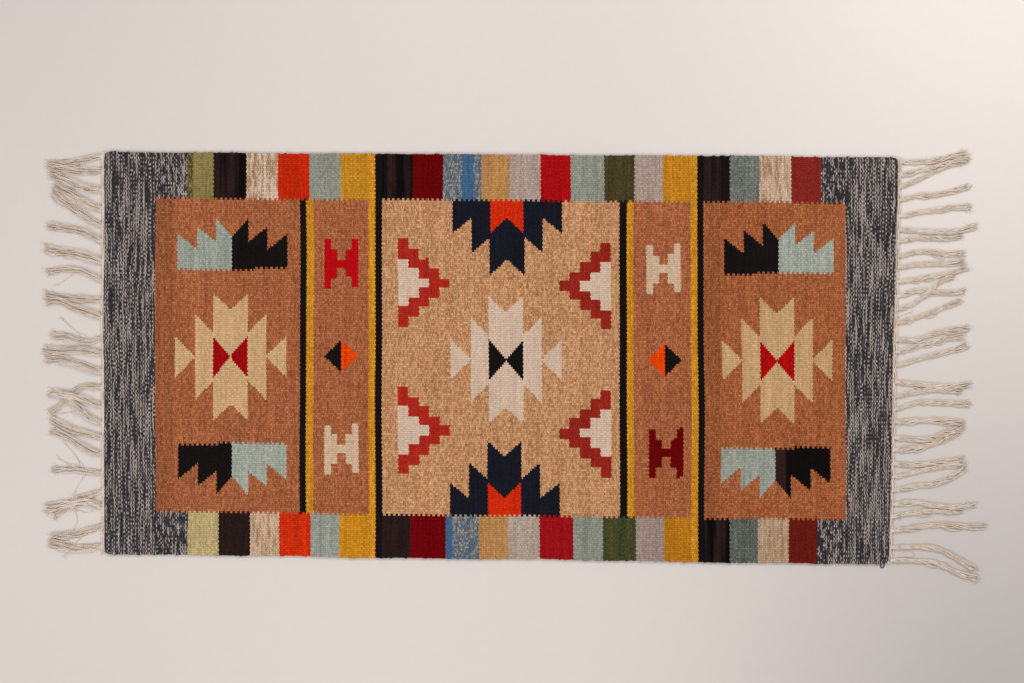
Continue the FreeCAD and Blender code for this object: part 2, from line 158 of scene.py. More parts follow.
def stitch_owners():
    """For each warp and stitch, the index of the woven node whose area holds the stitch's middle."""
    warp, stitch = np.meshgrid(np.arange(WARP_COUNT), np.arange(PICK_COUNT // 2 + 1), indexing="ij")
    pick = np.clip(2 * stitch + 1 - warp % 2, 0.5, PICK_COUNT - 0.5)
    # Where the edge rows meet the fields, every other pair of stitches reaches one warp further in.
    sample_warp = warp + 0.5
    every_other = stitch % 4 < 2
    sample_warp[(warp == WARP_COUNT - TOP_ROW_WARPS - 1) & every_other] += 1
    sample_warp[(warp == BOTTOM_ROW_WARPS) & every_other] -= 1
    x, y = ground(pick / PICK_COUNT, sample_warp / WARP_COUNT * 2 - 1)
    owner = np.full(x.shape, -1)
    for index, name in enumerate(WOVEN_NODES):
        points, triangles = top_triangles(name)
        for triangle in points[triangles][:, :, :2]:
            (ax, ay), (bx, by), (cx, cy) = triangle
            area = (bx - ax) * (cy - ay) - (by - ay) * (cx - ax)
            inside_b = ((x - ax) * (cy - ay) - (y - ay) * (cx - ax)) / area
            inside_c = ((bx - ax) * (y - ay) - (by - ay) * (x - ax)) / area
            owner[(inside_b >= 0) & (inside_c >= 0) & (inside_b + inside_c <= 1)] = index
    # A stitch that just misses every area, at the cloth's edge, goes with its neighbour on the same warp.
    for step in (1, -1):
        neighbour = np.roll(owner, step, axis=1)
        owner = np.where(owner < 0, neighbour, owner)
    # The straight side of each comb has the same teeth: it faces up on the lower combs, down on the upper.
    fields = [WOVEN_NODES.index(side + "_terracotta_field") for side in ("left", "right")]
    for index, name in enumerate(WOVEN_NODES):
        if name.endswith("_comb"):
            step = 1 if name.startswith("lower") else -1
            beyond = np.roll(owner == index, step, axis=0) & every_other
            owner[beyond & np.isin(owner, fields)] = index
    return owner


# ---- The cloth's surface -------------------------------------------------------------------------
def waves(x, y, count, shortest, longest):
    """A slow random swell from -1 to 1 or so, as a sum of plane waves."""
    total = np.zeros_like(x)
    for _ in range(count):
        length = random.uniform(shortest, longest)
        heading, phase = random.uniform(0, 2 * math.pi, 2)
        total += np.sin((x * math.cos(heading) + y * math.sin(heading)) * 2 * math.pi / length + phase)
    return total / math.sqrt(count)


def cloth_grid():
    """The vertices of the cloth's two faces, each as an array over picks and mesh rows."""
    pick, row = np.meshgrid(np.arange(PICK_COUNT + 1), np.arange(WARP_COUNT * ROWS + 1), indexing="ij")
    warp = np.minimum(row // ROWS, WARP_COUNT - 1)
    share = (row - warp * ROWS) / ROWS
    centre = (pick + warp) % 2 == 1  # the pick that crosses this warp on the upper face
    across = row / (WARP_COUNT * ROWS) * 2 - 1
    x, y = ground(pick / PICK_COUNT, across)

    reach = INTERLOCK * random.normal(1, 0.2, pick.shape)
    y = y + np.where(centre, 1, -1) * (2 * share - 1) * reach
    stripe_lean = np.interp(x, [0, STRIPES_END, RIGHT_BORDER, RIGHT_END], [0, 1, 0, 0])
    x = x + STRIPE_LEAN * across * stripe_lean
    y = y + DRIFT * waves(x, y, *DRIFT_WAVES)
    x = x + DRIFT * waves(x, y, *DRIFT_WAVES)
    x = x + random.normal(0, SCATTER_ALONG, pick.shape)
    y = y + random.normal(0, SCATTER_ACROSS, pick.shape)
    outermost = np.where(row == 0, -1, 0) + np.where(row == WARP_COUNT * ROWS, 1, 0)
    loops = random.gamma(1.0, 1.0, (PICK_COUNT // LOOP_PICKS + 1, 2)).clip(0, 3)
    loops = np.repeat(loops, LOOP_PICKS, axis=0)[:PICK_COUNT + 1]
    y = y + outermost * EDGE_LOOP * np.where(row == 0, loops[:, :1], loops[:, 1:])
    x, y = rounded_corners(x, y)

    between_warps = row % ROWS == 0
    swell = RIPPLE * (0.5 + 0.5 * np.clip(waves(x, y, *RIPPLE_WAVES) / 2, -1, 1))
    tightness = random.normal(0, SCATTER_ACROSS, pick.shape)
    faces = []
    for side, on_top in ((1, centre), (-1, ~centre)):
        height = np.where(between_warps, STITCH_END, np.where(on_top, STITCH_CROWN, STITCH_SIDE))
        z = MIDDLE + side * (height + tightness * ~between_warps) + swell
        faces.append(np.stack([x, y, np.maximum(z, 0)], axis=-1))
    lattice = np.stack([pick, row / ROWS, np.zeros(pick.shape)], axis=-1)
    return faces[0], faces[1], lattice


def rounded_corners(x, y):
    """Draws the cloth's corners in, less and less with the distance from each."""
    for (corner_x, corner_y), side_x, side_y in (
        (LOWER_LEFT, -1, -1), (UPPER_LEFT, -1, 1), (LOWER_RIGHT, 1, -1), (UPPER_RIGHT, 1, 1),
    ):
        in_x = (corner_x - x) * side_x
        in_y = (corner_y - y) * side_y
        near_x = 1 - np.clip(in_x / (2 * CORNER_ROUND), 0, 1)
        near_y = 1 - np.clip(in_y / (2 * CORNER_ROUND), 0, 1)
        pull = CORNER_PULL * CORNER_ROUND * (near_x * near_y) ** 2
        x = x - side_x * pull
        y = y - side_y * pull
    return x, y


def cloth_piece(name, cells, upper, lower, lattice):
    """A closed mesh of one woven area: the cells it owns on both faces, and walls round them."""
    columns, rows = cells.shape
    corner_id = np.arange((columns + 1) * (rows + 1)).reshape(columns + 1, rows + 1)
    below = corner_id.size

    def ring(owned, shift_a, shift_b):
        i, j = np.nonzero(owned)
        return corner_id[i + shift_a[0], j + shift_a[1]], corner_id[i + shift_b[0], j + shift_b[1]]

    i, j = np.nonzero(cells)
    square = [corner_id[i, j], corner_id[i + 1, j], corner_id[i + 1, j + 1], corner_id[i, j + 1]]
    quads = [np.stack(square, axis=1), np.stack(square[::-1], axis=1) + below]
    padded = np.pad(cells, 1)
    sides = (
        (padded[1:-1, :-2], (0, 0), (1, 0)), (padded[2:, 1:-1], (1, 0), (1, 1)),
        (padded[1:-1, 2:], (1, 1), (0, 1)), (padded[:-2, 1:-1], (0, 1), (0, 0)),
    )
    walls = []
    for neighbour, start, end in sides:
        a, b = ring(cells & ~neighbour, start, end)
        walls.append(np.stack([b, a, a + below, b + below], axis=1))
    walls = np.concatenate(walls)
    quads = np.concatenate(quads + [walls])

    used, quads = np.unique(quads, return_inverse=True)
    quads = quads.reshape(-1, 4)
    points = np.concatenate([upper.reshape(-1, 3), lower.reshape(-1, 3)])[used]
    lattice = np.concatenate([lattice.reshape(-1, 3)] * 2)[used]
    piece = quad_mesh(name, points, quads)
    mesh = piece.data
    mesh.attributes.new("lattice", "FLOAT_VECTOR", "POINT").data.foreach_set("vector", lattice.ravel())
    sharpen_rim(mesh, np.arange(len(quads)) >= len(quads) - len(walls))
    return piece


def sharpen_rim(mesh, is_wall):
    """Keeps the smooth shading of the two faces from running into the walls."""
    edges = np.empty(len(mesh.loops), dtype=np.int32)
    mesh.loops.foreach_get("edge_index", edges)
    wall_loop = np.repeat(is_wall, 4)
    has_wall = np.bincount(edges, weights=wall_loop, minlength=len(mesh.edges)) > 0
    has_face = np.bincount(edges, weights=~wall_loop, minlength=len(mesh.edges)) > 0
    mesh.edges.foreach_set("use_edge_sharp", has_wall & has_face)


def quad_mesh(name, points, quads):
    """A smooth-shaded object made only of four-sided faces."""
    mesh = bpy.data.meshes.new(name)
    mesh.vertices.add(len(points))
    mesh.vertices.foreach_set("co", points.astype(np.float32).ravel())
    mesh.loops.add(quads.size)
    mesh.loops.foreach_set("vertex_index", quads.astype(np.int32).ravel())
    mesh.polygons.add(len(quads))
    mesh.polygons.foreach_set("loop_start", np.arange(len(quads), dtype=np.int32) * 4)
    mesh.polygons.foreach_set("use_smooth", np.ones(len(quads), dtype=bool))
    mesh.update(calc_edges=True)
    mesh.validate()
    piece = bpy.data.objects.new(name, mesh)
    bpy.context.scene.collection.objects.link(piece)
    return piece


# ---- Threads -------------------------------------------------------------------------------------
def smooth_line(points, step):
    """Evenly spaced points on a smooth curve through the points given."""
    points = np.asarray(points, dtype=float)
    padded = np.vstack([2 * points[0] - points[1], points, 2 * points[-1] - points[-2]])
    fine = []
    for a, b, c, d in zip(padded, padded[1:], padded[2:], padded[3:]):
        t = np.linspace(0, 1, 24, endpoint=False)[:, None]
        fine.append(0.5 * (2 * b + (c - a) * t + (2 * a - 5 * b + 4 * c - d) * t ** 2
                           + (3 * b - a - 3 * c + d) * t ** 3))
    fine = np.vstack(fine + [points[-1:]])
    travelled = np.concatenate([[0], np.cumsum(np.linalg.norm(np.diff(fine, axis=0), axis=1))])
    stops = np.linspace(0, travelled[-1], max(int(travelled[-1] / step), 3) + 1)
    return np.stack([np.interp(stops, travelled, fine[:, k]) for k in range(fine.shape[1])], axis=1)


def directions(line):
    """Along, sideways and upwards at each point of a line."""
    along = np.gradient(line, axis=0)
    along /= np.linalg.norm(along, axis=1)[:, None]
    sideways = np.cross(along, [0, 0, 1.0])
    sideways /= np.maximum(np.linalg.norm(sideways, axis=1), 1e-9)[:, None]
    return along, sideways, np.cross(sideways, along)


class Threads:
    """Collects tubes and makes one piece of them."""

    def __init__(self):
        self.points, self.quads, self.count = [], [], 0

    def add(self, line, radius, sides=8, ply_depth=0.0, pitch=STRAND_PITCH):
        """A tube along a line. With ply_depth its section has two lobes that turn once in each pitch."""
        rings = len(line)
        _, sideways, upwards = directions(line)
        travelled = np.concatenate([[0], np.cumsum(np.linalg.norm(np.diff(line, axis=0), axis=1))])
        angle = np.arange(sides) * 2 * math.pi / sides
        reach = (1 - ply_depth / 2 + ply_depth * np.cos(2 * angle)) * np.broadcast_to(radius, rings)[:, None]
        turned = angle + (travelled[:, None] / pitch * 2 * math.pi if ply_depth else 0)
        tube = (line[:, None] + (reach * np.cos(turned))[:, :, None] * sideways[:, None]
                + (reach * np.sin(turned))[:, :, None] * upwards[:, None])
        ids = np.arange(rings * sides).reshape(rings, sides) + self.count
        after = np.roll(ids, -1, axis=1)
        body = np.stack([ids[:-1], ids[1:], after[1:], after[:-1]], axis=-1).reshape(-1, 4)
        caps = [[ids[0, k], ids[0, k + 1], ids[0, sides - 2 - k], ids[0, sides - 1 - k]]
                for k in range(sides // 2 - 1)]
        caps += [[ids[-1, sides - 1 - k], ids[-1, sides - 2 - k], ids[-1, k + 1], ids[-1, k]]
                 for k in range(sides // 2 - 1)]
        self.points.append(tube.reshape(-1, 3))
        self.quads += [body[:, ::-1], np.array(caps)[:, ::-1]]
        self.count += rings * sides

    def piece(self, name):
        return quad_mesh(name, np.concatenate(self.points), np.concatenate(self.quads))


def warp_threads():
    """Every warp inside the cloth, straight from end to end."""
    threads = Threads()
    for warp in range(WARP_COUNT):
        across = (warp + 0.5) / WARP_COUNT * 2 - 1
        along = np.linspace(0, 1, 25)
        x, y = ground(along, np.full(along.shape, across))
        threads.add(np.stack([x, y, np.full(x.shape, MIDDLE)], axis=1), WARP_RADIUS)
    return threads.piece("warps")


def end_cord(name, start, end, outside, lobe):
    """Two rows of twining side by side, twisted opposite ways, so that their strands meet in a chain. The
    outer row bulges at each tassel."""
    threads = Threads()
    length = np.linalg.norm(end - start)
    t = np.linspace(0, 1, int(length / RING_STEP))
    for row, distance in enumerate(CORD_ROWS):
        bulge = lobe * row * np.abs(np.sin(t * length / TASSEL_SPACING * math.pi))
        x = start[0] + (end[0] - start[0]) * t + outside * (distance + bulge)
        y = start[1] + (end[1] - start[1]) * t
        wander = 0.5 * MM * waves(x, y, 5, 0.02, 0.09)
        hand = 1 if row else -1
        for strand in (0, math.pi):
            turn = hand * (t * length / CORD_PITCH * 2 * math.pi) + strand
            line = np.stack([
                x + wander + CORD_HELIX * np.cos(turn), y, MIDDLE + CORD_HELIX * np.sin(turn),
            ], axis=1)
            threads.add(line, CORD_STRAND, sides=6)
    return threads.piece(name)


# ---- The fringe ----------------------------------------------------------------------------------
def islands(triangles):
    """Groups of triangles that share corners, each as an array of the corners in it."""
    group = {}
    for triangle in triangles.tolist():
        merged = set(triangle)
        for known in {id(group[c]): group[c] for c in triangle if c in group}.values():
            merged |= known
        for c in merged:
            group[c] = merged
    return [np.array(sorted(found)) for found in {id(g): g for g in group.values()}.values()]


def tassel_routes(name):
    """Each CAD tassel's centreline from root to tip, from the paired corners of its outline."""
    points, triangles = top_triangles(name)
    routes = []
    for corners in islands(triangles):
        outline = points[corners]
        outline = outline[np.argsort(np.abs(outline[:, 0]))]
        sides = 2 * TASSEL_STATIONS
        root, rest = outline[:-sides].mean(axis=0), outline[-sides:]
        stations = [root] + [rest[k:k + 2].mean(axis=0) for k in range(0, sides, 2)]
        routes.append((np.array(stations), outline[0, 2] > 2 * MIDDLE))
    return sorted(routes, key=lambda route: -route[0][0][1])


class Floor:
    """How high the threads laid so far stand, on a 1 mm grid, so that the next one lies on top of them."""

    def __init__(self, low, high):
        self.low = np.array(low) - 0.05
        size = ((np.array(high) + 0.05 - self.low) / MM).astype(int) + 1
        self.height = np.zeros(size)

    def cells(self, line, spread):
        offsets = np.arange(-spread, spread + 1)
        base = ((line[:, :2] - self.low) / MM).astype(int)
        i = base[:, 0, None, None] + offsets[:, None]
        j = base[:, 1, None, None] + offsets[None, :]
        return np.clip(i, 0, self.height.shape[0] - 1), np.clip(j, 0, self.height.shape[1] - 1)

    def lay(self, line, radius, root_height, spread=1):
        """Gives a line its heights: on the floor or on what lies there, and coming down from its root. A
        wide bundle is laid as one line, with the cells to its sides given by spread."""
        i, j = self.cells(line, spread)
        support = self.height[i, j].max(axis=(1, 2)) + radius
        support = PILE_HEIGHT * np.tanh(support / PILE_HEIGHT)
        reach = 5  # points on each side over which a bump is spread out
        widened = np.array([support[max(k - reach, 0):k + reach + 1].max() for k in range(len(support))])
        kernel = np.hanning(2 * reach + 3)
        padded = np.pad(widened, reach + 1, mode="edge")
        z = np.convolve(padded, kernel / kernel.sum(), mode="valid")
        travelled = np.arange(len(line)) * RING_STEP
        fall = np.clip(1 - travelled / ROOT_FALL, 0, 1) ** 2
        line[:, 2] = np.maximum(z, radius) * (1 - fall) + root_height * fall
        i, j = self.cells(line, spread - 1)
        top = np.broadcast_to((line[:, 2] + radius * 0.8)[:, None, None], i.shape)
        np.maximum.at(self.height, (i, j), top)
        return line


def frayed_tip(threads, line):
    """Loose fibres that fan out from a strand's tip."""
    along = line[-1] - line[-4]
    heading = math.atan2(along[1], along[0])
    for _ in range(random.integers(5, 9)):
        length = random.uniform(4, 12) * MM
        bend = random.normal(0, 0.35)
        curl = random.normal(0, 0.5)
        t = np.linspace(0, 1, 6)
        turn = heading + bend + curl * t
        step = length / 5
        start = line[-random.integers(2, 8)]
        x = start[0] + np.cumsum(np.cos(turn)) * step - math.cos(turn[0]) * step
        y = start[1] + np.cumsum(np.sin(turn)) * step - math.sin(turn[0]) * step
        arch = random.uniform(0, 1.2) * MM * np.sin(math.pi * t)
        z = np.maximum(start[2] * (1 - t) + FIBRE_GAP * t + arch, FIBRE_GAP)
        threads.add(np.stack([x, y, z], axis=1), random.uniform(0.10, 0.18) * MM * (1 - 0.5 * t), sides=4)


def swaying(length, t, amount):
    """A strand's own slow sideways wander, which grows towards its tip."""
    phase_a, phase_b = random.uniform(0, 2 * math.pi, 2)
    return MM * amount * (1.2 * t * np.sin(t * length / (60 * MM) * 2 * math.pi + phase_a)
                          + 0.5 * np.sin(t * length / (26 * MM) * 2 * math.pi + phase_b))


def flat_tassel(threads, floor, route):
    """Fine strands side by side that fan out a little and lie on one another where they are tight."""
    count = random.integers(9, 13)
    length = np.linalg.norm(np.diff(route, axis=0), axis=1).sum()
    for place in random.permutation(count) - (count - 1) / 2:
        line = smooth_line(route, RING_STEP)
        _, sideways, _ = directions(line)
        t = np.linspace(0, 1, len(line))
        offset = place * MM * np.interp(t, [0, 0.25, 1], [0.55, 0.85, 1.15]) + swaying(length, t, 1.0)
        line = line + sideways * offset[:, None]
        line = line[:int(len(line) * random.uniform(0.9, 1.0))]
        line = floor.lay(line, FINE_STRAND, MIDDLE)
        threads.add(line, FINE_STRAND, sides=6, ply_depth=0.2)
        frayed_tip(threads, line)


def twisted_tassel(threads, floor, route):
    """A bundle twisted as a whole, thickest where it is knotted near the root, and loose at the tip."""
    count = random.integers(9, 12)
    axis = smooth_line(route, RING_STEP)
    axis = floor.lay(axis, BUNDLE, MIDDLE, spread=3)
    _, sideways, _ = directions(axis)
    t = np.linspace(0, 1, len(axis))
    travelled = np.arange(len(axis)) * RING_STEP
    length = travelled[-1]
    knot = np.exp(-((travelled - random.uniform(8, 15) * MM) / (4 * MM)) ** 2)
    width = MM * (np.interp(t, [0, 0.15, 0.7, 1], [1.6, 2.5, 3.0, 4.2]) + 0.9 * knot)
    turns = random.uniform(1.6, 2.8) * random.choice([-1, 1])
    for strand in range(count):
        angle = 2 * math.pi * (strand / count + turns * np.minimum(t, 0.8) + 0.35 * knot)
        inside = 0.45 if strand % 3 == 0 else 1.0
        loose = random.uniform(2.5, 5) * MM * np.sin(math.pi * t) * (random.random() < 0.1)
        offset = inside * width * np.cos(angle) + swaying(length, t, 0.7) + loose
        line = axis + sideways * offset[:, None]
        line[:, 2] += 0.45 * inside * width * np.sin(angle)
        line[:, 2] = np.maximum(line[:, 2] * (1 - 0.25 * t), STRAND)
        line = line[:int(len(line) * random.uniform(0.9, 1.0))]
        threads.add(line, STRAND, sides=6, ply_depth=0.25)
        frayed_tip(threads, line)


def stray(threads, floor, root, steps):
    """One strand that has come away. Its course is given in millimetres from a tassel's root."""
    line = smooth_line([(root[0] + dx * MM, root[1] + dy * MM, 0.0) for dx, dy in steps], RING_STEP)
    line = floor.lay(line, FINE_STRAND, FINE_STRAND)
    threads.add(line, FINE_STRAND, sides=6, ply_depth=0.2)
    frayed_tip(threads, line)


def fringe(name, side, tassel, strays):
    """Every tassel of one end, the lower ones first, and the strands that have strayed from them."""
    threads = Threads()
    low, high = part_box(name)
    floor = Floor(low[:2], high[:2])
    routes = tassel_routes(name)
    for route, _ in sorted(routes, key=lambda found: found[1]):
        route[:, 2] = 0
        route[0, 0] -= side * ROOT_DEPTH
        tassel(threads, floor, route)
    for number, steps in strays:
        stray(threads, floor, routes[number][0][0], steps)
    return threads.piece(name)


def yarn_tail():
    """A hairpin loop of weft yarn against the lower edge."""
    low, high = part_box("yarn_tail")
    middle = (low.x + high.x) / 2
    half = (high.x - low.x) / 2 - 0.7 * MM
    z = 0.9 * MM
    route = [
        (middle - half, high.y + 1 * MM, z), (middle - half, (low.y + high.y) / 2, z),
        (middle - half * 0.8, low.y + 1.6 * MM, z), (middle, low.y + 0.8 * MM, z),
        (middle + half * 0.8, low.y + 1.6 * MM, z), (middle + half, (low.y + high.y) / 2, z),
        (middle + half, high.y + 1 * MM, z),
    ]
    threads = Threads()
    threads.add(smooth_line(route, 0.4 * MM), TAIL_YARN, ply_depth=0.3, pitch=4 * MM)
    return threads.piece("yarn_tail")


# ---- Materials -----------------------------------------------------------------------------------
class Shader:
    """A material and short ways to add nodes to it. A value given as a socket is linked."""

    def __init__(self, name):
        self.material = bpy.data.materials.new(name)
        self.material.use_nodes = True
        self.tree = self.material.node_tree
        self.tree.nodes.clear()

    def add(self, kind, inputs=None, **settings):
        node = self.tree.nodes.new("ShaderNode" + kind)
        for key, value in settings.items():
            setattr(node, key, value)
        for key, value in (inputs or {}).items():
            if isinstance(value, bpy.types.NodeSocket):
                self.tree.links.new(value, node.inputs[key])
            else:
                node.inputs[key].default_value = value
        return node

    def maths(self, operation, *values):
        return self.add("Math", dict(enumerate(values)), operation=operation).outputs[0]

    def vector(self, x, y=0.0, z=0.0):
        return self.add("CombineXYZ", {0: x, 1: y, 2: z}).outputs[0]

    def white_noise(self, vector):
        return self.add("TexWhiteNoise", {"Vector": vector}, noise_dimensions="3D").outputs["Value"]

    def noise(self, vector, scale=1.0, detail=2.0):
        inputs = {"Vector": vector, "Scale": scale, "Detail": detail}
        return self.add("TexNoise", inputs, noise_dimensions="3D").outputs["Fac"]

    def spread(self, value, low, high):
        """Stretches a value from 0 to 1 over the range given."""
        return self.add("MapRange", {"Value": value, "To Min": low, "To Max": high}).outputs["Result"]

    def between(self, value, low, high):
        """0 below low, 1 above high, and smooth in between."""
        inputs = {"Value": value, "From Min": low, "From Max": high}
        return self.add("MapRange", inputs, interpolation_type="SMOOTHSTEP").outputs["Result"]

    def mix(self, factor, a, b):
        node = self.add("Mix", {0: factor, 6: a, 7: b}, data_type="RGBA")
        return node.outputs[2]

    def scaled(self, colour, factor):
        """A colour made lighter or darker by a factor."""
        plain = colour if isinstance(colour, bpy.types.NodeSocket) else colour[:3]
        return self.add("VectorMath", {0: plain, "Scale": factor}, operation="SCALE").outputs[0]

    def times(self, tone, value, low, high):
        """A tone times a factor that goes from low to high as the value goes from 0 to 1."""
        return self.maths("MULTIPLY", tone, self.spread(value, low, high))

    def position(self):
        """The point on the object, in metres, as a vector and as x, y and z."""
        vector = self.add("TexCoord").outputs["Object"]
        return (vector, *self.add("SeparateXYZ", {0: vector}).outputs)

    def finish(self, colour, roughness, bump_height, bump_depth, sheen=0.01):
        """The fibre surface that all the yarns share."""
        normal = self.add("Bump", {"Height": bump_height, "Distance": bump_depth, "Strength": 1.0}).outputs[0]
        surface = self.add("BsdfPrincipled", {
            "Base Color": colour, "Roughness": roughness, "Normal": normal,
            "Specular IOR Level": 0.04, "Sheen Weight": sheen, "Sheen Roughness": 0.5,
        })
        output = self.add("OutputMaterial")
        self.tree.links.new(surface.outputs[0], output.inputs[0])
        return self.material


def rgb(colour):
    return (*colour, 1.0)


def one_of(shader, colours):
    """The colour of a rug quarter, as upper left, upper right, lower left and lower right may come from
    different dye lots. A single colour is the same all over."""
    if len(colours) != 4:
        return rgb(colours)
    _, x, y, _ = shader.position()
    to_right = shader.between(x, RIGHT_LOTS - MM, RIGHT_LOTS + MM)
    upper = shader.mix(to_right, rgb(colours[0]), rgb(colours[1]))
    lower = shader.mix(to_right, rgb(colours[2]), rgb(colours[3]))
    return shader.mix(shader.between(y, -10 * MM, 10 * MM), lower, upper)


STRIP_BLUR = 2 * MM  # how soft the side of a strip of another shade is


def inside_strip(shader, place, start, end, blur):
    """1 between two places on an axis, 0 elsewhere."""
    after = shader.between(place, start, start + blur)
    past = shader.between(place, end - blur, end)
    return shader.maths("SUBTRACT", after, past)


def ply_share(shader, pick, warp, own_tone, change, cover, softness, clumping, drift):
    """Where a yarn's second ply lies on top. From warp to warp it moves on by a share of a noise cell
    (change). The wefts go in there and back, so neighbouring picks tend to agree (clumping), and whole
    areas hold more or less of it (drift)."""
    maths = shader.maths
    pair = maths("FLOOR", maths("MULTIPLY", pick, 0.5))
    single = shader.noise(shader.vector(maths("MULTIPLY", pick, 7.31), maths("MULTIPLY", warp, change)))
    paired = shader.noise(shader.vector(maths("MULTIPLY", pair, 5.77), maths("MULTIPLY", warp, change), 7.5))
    broad = shader.noise(shader.vector(maths("MULTIPLY", pick, 0.06), maths("MULTIPLY", warp, 0.015)))
    value = maths("ADD", maths("MULTIPLY", single, 1 - clumping), maths("MULTIPLY", paired, clumping))
    value = maths("ADD", value, shader.spread(broad, -drift, drift))
    value = maths("ADD", value, shader.spread(own_tone, -0.06, 0.06))
    return shader.between(value, cover - softness, cover + softness)


def marl_share(shader, x, pick, warp, odd, own_tone):
    """Where the marl is ivory. Four picks make a group, there and back with a double yarn, in which ivory
    keeps to one side, so it shows as upright lines that waver and chain from warp to warp. In the arms of
    the borders it covers a whole group or none, which gives short bold dashes."""
    maths = shader.maths
    place = maths("DIVIDE", maths("ADD", maths("MULTIPLY", maths("ADD", pick, 1.0), 0.5), odd), 2.0)
    group = maths("FLOOR", place)
    pair = maths("SUBTRACT", group, odd)
    in_arm = inside_strip(shader, x, LEFT_FIELD, RIGHT_BORDER, STRIP_BLUR)

    def along_pair(offset, rate):
        moved = maths("ADD", maths("MULTIPLY", pair, 7.31), offset)
        return shader.noise(shader.vector(moved, maths("MULTIPLY", warp, rate)), detail=1.0)

    apart = shader.spread(along_pair(0.0, 0.08), -0.75, 1.05)
    centre = maths("ADD", 0.5, maths("MULTIPLY", apart, shader.spread(odd, 1.0, -1.0)))
    fine = shader.spread(along_pair(0.47, 0.055), -0.37, 0.70)
    bold = shader.spread(along_pair(0.81, 0.20), -0.64, 0.90)
    broad = shader.noise(shader.vector(maths("MULTIPLY", pick, 0.055), maths("MULTIPLY", warp, 0.015)))
    half_width = maths("ADD", fine, maths("MULTIPLY", in_arm, maths("SUBTRACT", bold, fine)))
    half_width = maths("ADD", half_width, shader.spread(broad, -0.08, 0.08))
    half_width = maths("ADD", half_width, shader.spread(own_tone, -0.06, 0.06))
    from_centre = maths("ABSOLUTE", maths("SUBTRACT", maths("SUBTRACT", place, group), centre))
    return shader.between(maths("SUBTRACT", half_width, from_centre), -0.14, 0.14)


# How a two-ply yarn's second ply shows: change, cover, softness, clumping and drift.
FINE_GRAIN = (0.75, 0.50, 0.19, 0.0, 0.05)
LOOSE_GRAIN = (0.30, 0.50, 0.16, 0.10, 0.07)
LONG_STREAKS = (0.12, 0.53, 0.05, 0.8, 0.09)
SHORT_STREAKS = (0.22, 0.545, 0.10, 0.25, 0.05)


def wool(name, colours, contrast=1.3, heather=None, heather_strip=None, ply=None, grain=FINE_GRAIN,
         dark_strips=(), flecks=None):
    """Weft-faced wool. Each stitch and each pass of the weft has its own tone, and the fibres run across
    the warps. A heathered yarn has bands of a second shade, or one strip, and a two-ply yarn shows its
    second ply here and there: as the grain says, or as marl where there is no grain. Dark strips and the
    strip with dark flecks are given by where they start and end along the rug."""
    shader = Shader(name)
    maths = shader.maths
    point, x, y, _ = shader.position()
    lattice = shader.add("Attribute", attribute_name="lattice").outputs["Vector"]
    pick_place, warp_place, _ = shader.add("SeparateXYZ", {0: lattice}).outputs
    warp = maths("FLOOR", warp_place)
    odd = maths("MODULO", warp, 2.0)
    stitch_place = maths("DIVIDE", maths("ADD", pick_place, odd), 2.0)
    stitch = maths("FLOOR", stitch_place)
    pick = maths("SUBTRACT", maths("MULTIPLY", stitch, 2.0), odd)

    own_tone = shader.white_noise(shader.vector(stitch, warp))
    pick_tone = shader.white_noise(shader.vector(pick, 0.5, 0.5))
    streak = shader.noise(shader.vector(maths("MULTIPLY", pick, 0.61), maths("MULTIPLY", warp, 0.045)))
    band = shader.noise(shader.vector(maths("MULTIPLY", pick, 0.07), maths("MULTIPLY", warp, 0.01)))
    cloud = shader.noise(point, scale=14.0)
    fibre_place = shader.vector(maths("MULTIPLY", x, 5200.0), maths("MULTIPLY", y, 900.0))
    fibres = shader.noise(fibre_place, detail=3.0)

    from_warp = maths("ABSOLUTE", maths("SUBTRACT", maths("SUBTRACT", warp_place, warp), 0.5))
    from_pick = maths("ABSOLUTE", maths("SUBTRACT", maths("SUBTRACT", stitch_place, stitch), 0.5))
    # painted shade: darker in the hollows beside each stitch on a rib and in the grooves between ribs
    stitch_hollow_shade = shader.between(from_pick, 0.30, 0.5)
    rib_groove_shade = shader.between(from_warp, 0.22, 0.5)

    tone = 1.0
    for value, change in ((own_tone, 0.14), (pick_tone, 0.07), (streak, 0.35), (band, 0.14)):
        tone = shader.times(tone, value, 1 - change * contrast, 1 + change * contrast)
    tone = shader.times(tone, cloud, 0.94, 1.06)
    tone = shader.times(tone, fibres, 0.82, 1.18)
    # painted shade in those hollows and grooves, and a little painted light on the stitch crowns
    tone = shader.times(tone, stitch_hollow_shade, 1.035, 0.645)
    tone = shader.times(tone, rib_groove_shade, 1.05, 0.70)
    for start, end in dark_strips:
        tone = shader.times(tone, inside_strip(shader, x, start, end, STRIP_BLUR), 1.0, 0.84)

    colour = one_of(shader, colours)
    if heather:
        share = shader.between(band, 0.43, 0.60)
        if heather_strip:
            share = inside_strip(shader, x, *heather_strip, STRIP_BLUR)
        colour = shader.mix(share, colour, rgb(heather))
    if ply:
        if grain:
            share = ply_share(shader, pick, warp, own_tone, *grain)
        else:
            share = marl_share(shader, x, pick, warp, odd, own_tone)
        colour = shader.mix(share, colour, rgb(ply))
    if flecks:
        fleck = maths("MULTIPLY", inside_strip(shader, x, *flecks, 4 * MM), shader.between(y, 0.0, MM))
        fleck = maths("MULTIPLY", fleck, shader.between(own_tone, 0.35, 0.45))
        tone = shader.times(tone, fleck, 1.0, 0.3)
    colour = shader.scaled(colour, tone)

    roughness = shader.spread(fibres, 0.84, 0.98)
    return shader.finish(colour, roughness, fibres, 0.25 * MM)


